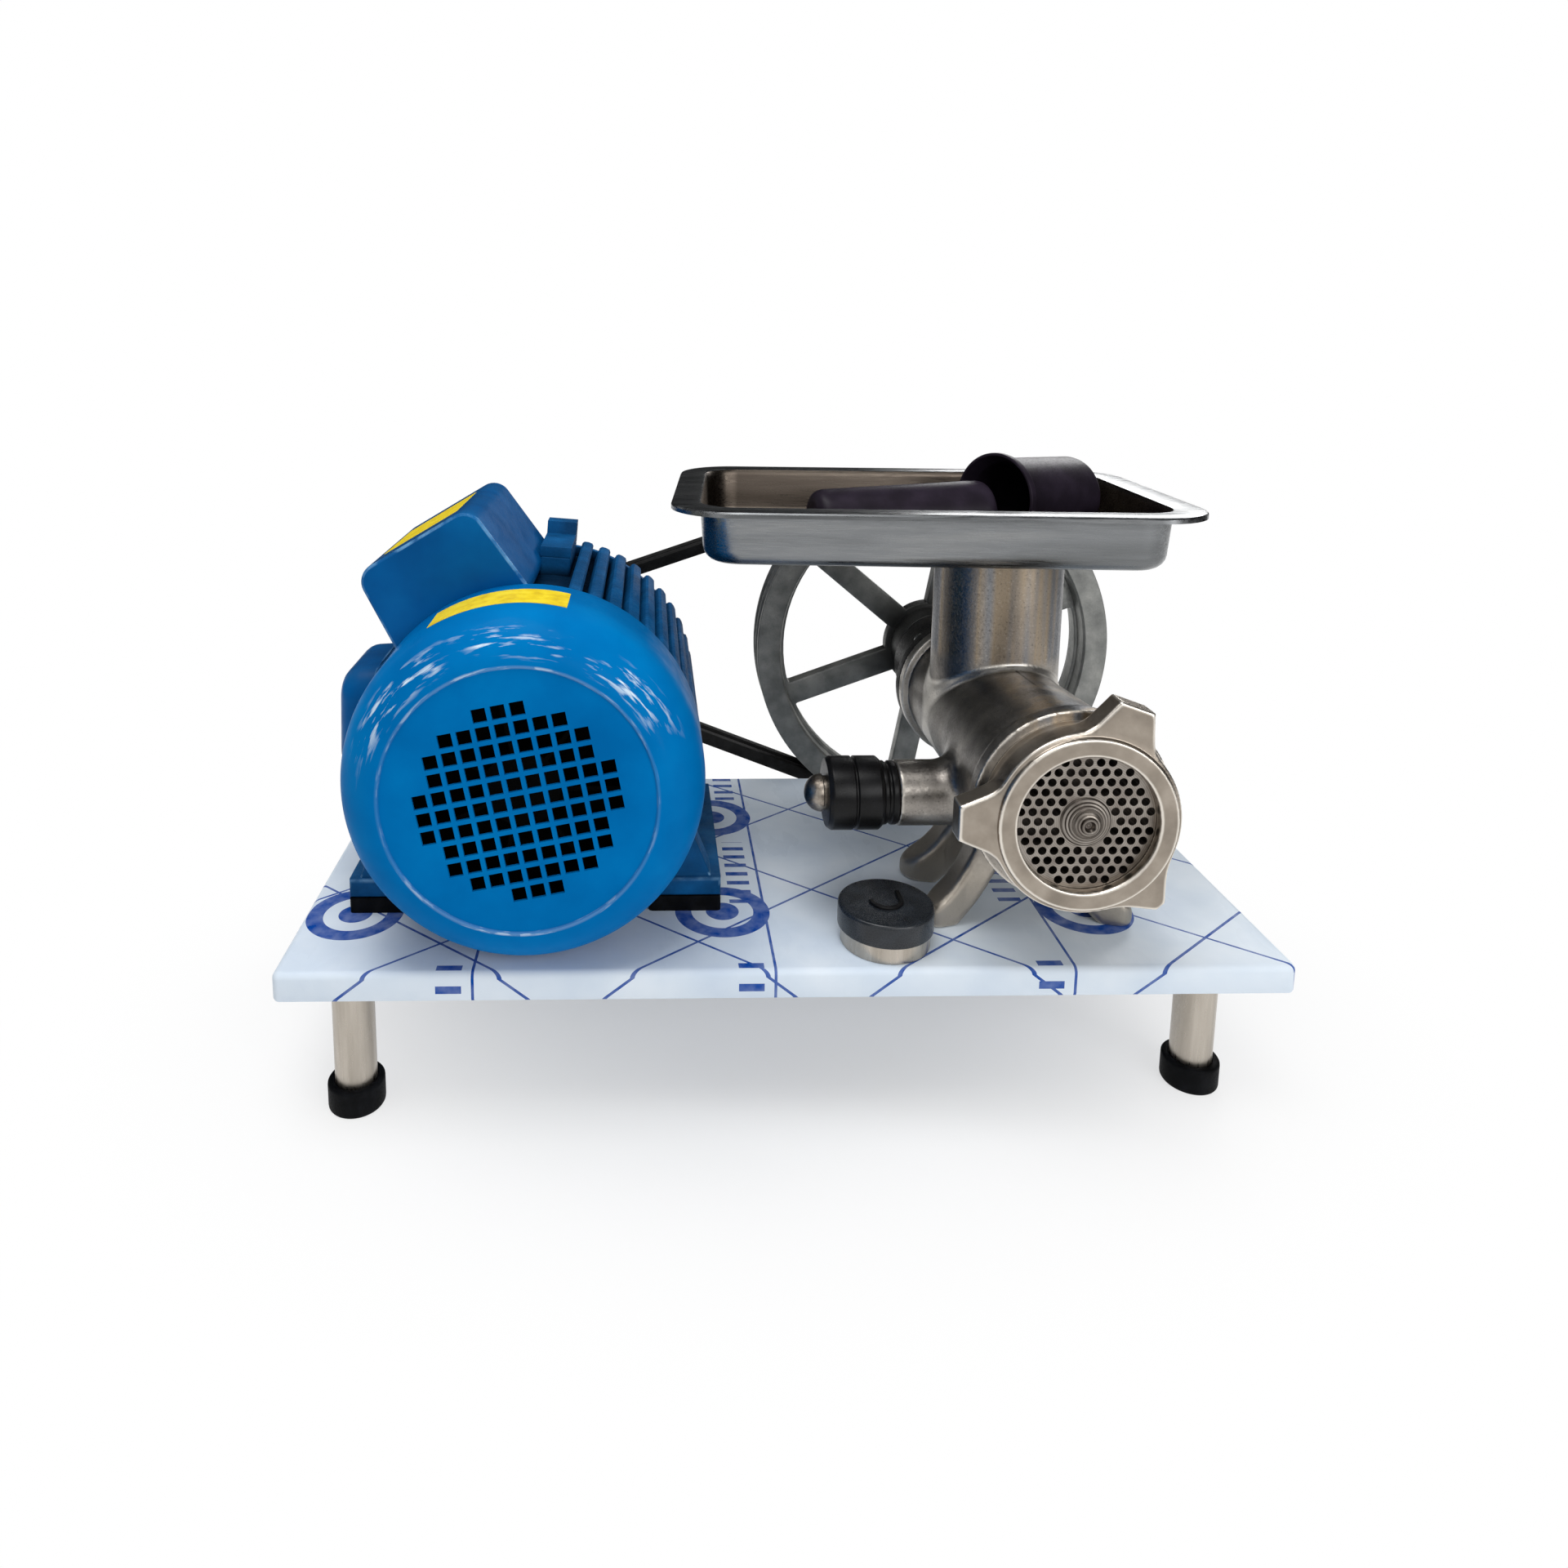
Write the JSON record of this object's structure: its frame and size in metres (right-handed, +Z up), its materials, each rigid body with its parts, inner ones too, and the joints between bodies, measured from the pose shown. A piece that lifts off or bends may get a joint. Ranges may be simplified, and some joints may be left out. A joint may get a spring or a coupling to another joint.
{
  "type": "electric meat grinder",
  "caption": "Belt-driven electric meat grinder: finned motor, V-belts to a large spoked pulley, cast grinder head with feed tray, pusher and sleeve, on a folded plate stand with legs.",
  "frame": {"origin": "on the floor under the middle of the whole machine", "axes": "+X along the plate to the operator's right, +Y from the die to the pulleys, +Z up"},
  "size_m": [0.604, 0.374, 0.388],
  "materials": {
    "filmed_sheet": "satin sheet under a printed protective film",
    "stainless": "brushed",
    "black_rubber": "matte moulded",
    "belt_rubber": "matte",
    "zinc_steel": "zinc plated",
    "blue_casting": "semi-gloss paint over casting",
    "blue_paint": "gloss paint",
    "black_plastic": "moulded satin",
    "shaft_steel": "ground",
    "core_iron": "laminated",
    "winding": "varnished copper",
    "bronze": "turned",
    "can_aluminium": "drawn",
    "cast_pulley": "as cast with turned rim",
    "plated_casting": "plated, satin, warm grey",
    "dark_casting": "as cast, dark",
    "polished_cap": "polished, worn",
    "pusher_plastic": "moulded satin"
  },
  "bodies": {
    "stand": {"base_plate": "filmed_sheet", "motor_pads": "black_rubber", "belt_front": "belt_rubber", "belt_rear": "belt_rubber", "motor_fasteners": "zinc_steel", "grinder_bolts": "zinc_steel", "housing_bolts": "zinc_steel", "motor_frame": "blue_casting", "lifting_lug": "blue_casting", "front_end_shield": "blue_casting", "rear_end_shield": "blue_casting", "fan_cover": "blue_paint", "terminal_box": "blue_paint", "side_box": "blue_paint", "stator_core": "core_iron", "stator_windings": "winding", "motor_bearings": "shaft_steel", "drive_bearings": "shaft_steel", "bearing_spacer": "shaft_steel", "thrust_washer": "bronze", "terminal_board": "black_plastic", "run_capacitor": "can_aluminium", "start_capacitor": "can_aluminium", "cable_gland": "black_plastic", "grinder_body": "plated_casting", "bearing_housing": "dark_casting", "die_plate": "shaft_steel", "die_pin": "shaft_steel", "switch_base": "stainless", "switch_block": "black_plastic", "leg_front_left": "stainless", "foot_cap_front_left": "black_rubber", "leg_front_right": "stainless", "foot_cap_front_right": "black_rubber", "leg_rear_left": "stainless", "foot_cap_rear_left": "black_rubber", "leg_rear_right": "stainless", "foot_cap_rear_right": "black_rubber"},
    "grinder_drive": {"auger": "plated_casting", "auger_stud": "shaft_steel", "knife": "shaft_steel", "drive_pulley": "cast_pulley", "drive_key": "shaft_steel", "pulley_bolt": "zinc_steel"},
    "motor_rotor": {"motor_shaft": "shaft_steel", "rotor_core": "core_iron", "cooling_fan": "black_plastic", "motor_pulley": "cast_pulley", "motor_key": "shaft_steel"},
    "locking_ring": {"ring_nut": "plated_casting"},
    "tray": {"feed_tray": "stainless", "tray_collar": "stainless"},
    "pusher": {"pusher": "pusher_plastic"},
    "sleeve": {"stuffing_sleeve": "pusher_plastic"},
    "switch": {"switch_knob": "black_plastic", "switch_spindle": "shaft_steel"},
    "clamp": {"clamp_collar": "black_plastic", "clamp_knob": "black_plastic", "clamp_screw": "shaft_steel", "clamp_cap": "polished_cap"}
  },
  "joints": [
    {"name": "drive_spin", "type": "hinge", "parent": "stand", "child": "grinder_drive", "pos_m": [0.154, -0.016, 0.2035], "axis": [0, 1, 0], "continuous": true},
    {"name": "motor_spin", "type": "hinge", "parent": "stand", "child": "motor_rotor", "pos_m": [-0.156, -0.016, 0.21], "axis": [0, 1, 0], "continuous": true},
    {"name": "ring_turn", "type": "hinge", "parent": "stand", "child": "locking_ring", "pos_m": [0.154, -0.016, 0.2035], "axis": [0, -1, 0], "range_deg": [0, 90]},
    {"name": "tray_lift", "type": "slide", "parent": "stand", "child": "tray", "axis": [0, 0, 1], "range_m": [0, 0.08]},
    {"name": "pusher_lift", "type": "slide", "parent": "tray", "child": "pusher", "axis": [0, 0, 1], "range_m": [0, 0.1]},
    {"name": "sleeve_lift", "type": "slide", "parent": "tray", "child": "sleeve", "axis": [0, 0, 1], "range_m": [0, 0.1]},
    {"name": "switch_turn", "type": "hinge", "parent": "stand", "child": "switch", "pos_m": [0.06, -0.122, 0.11], "axis": [0, 0, -1], "range_deg": [0, 90]},
    {"name": "clamp_turn", "type": "hinge", "parent": "stand", "child": "clamp", "pos_m": [0.058, -0.0935, 0.1825], "axis": [-1, 0, 0], "range_deg": [0, 360]}
  ],
  "couplings": [
    {"joint": "motor_spin", "follows": "drive_spin", "ratio": 3.8307}
  ]
}
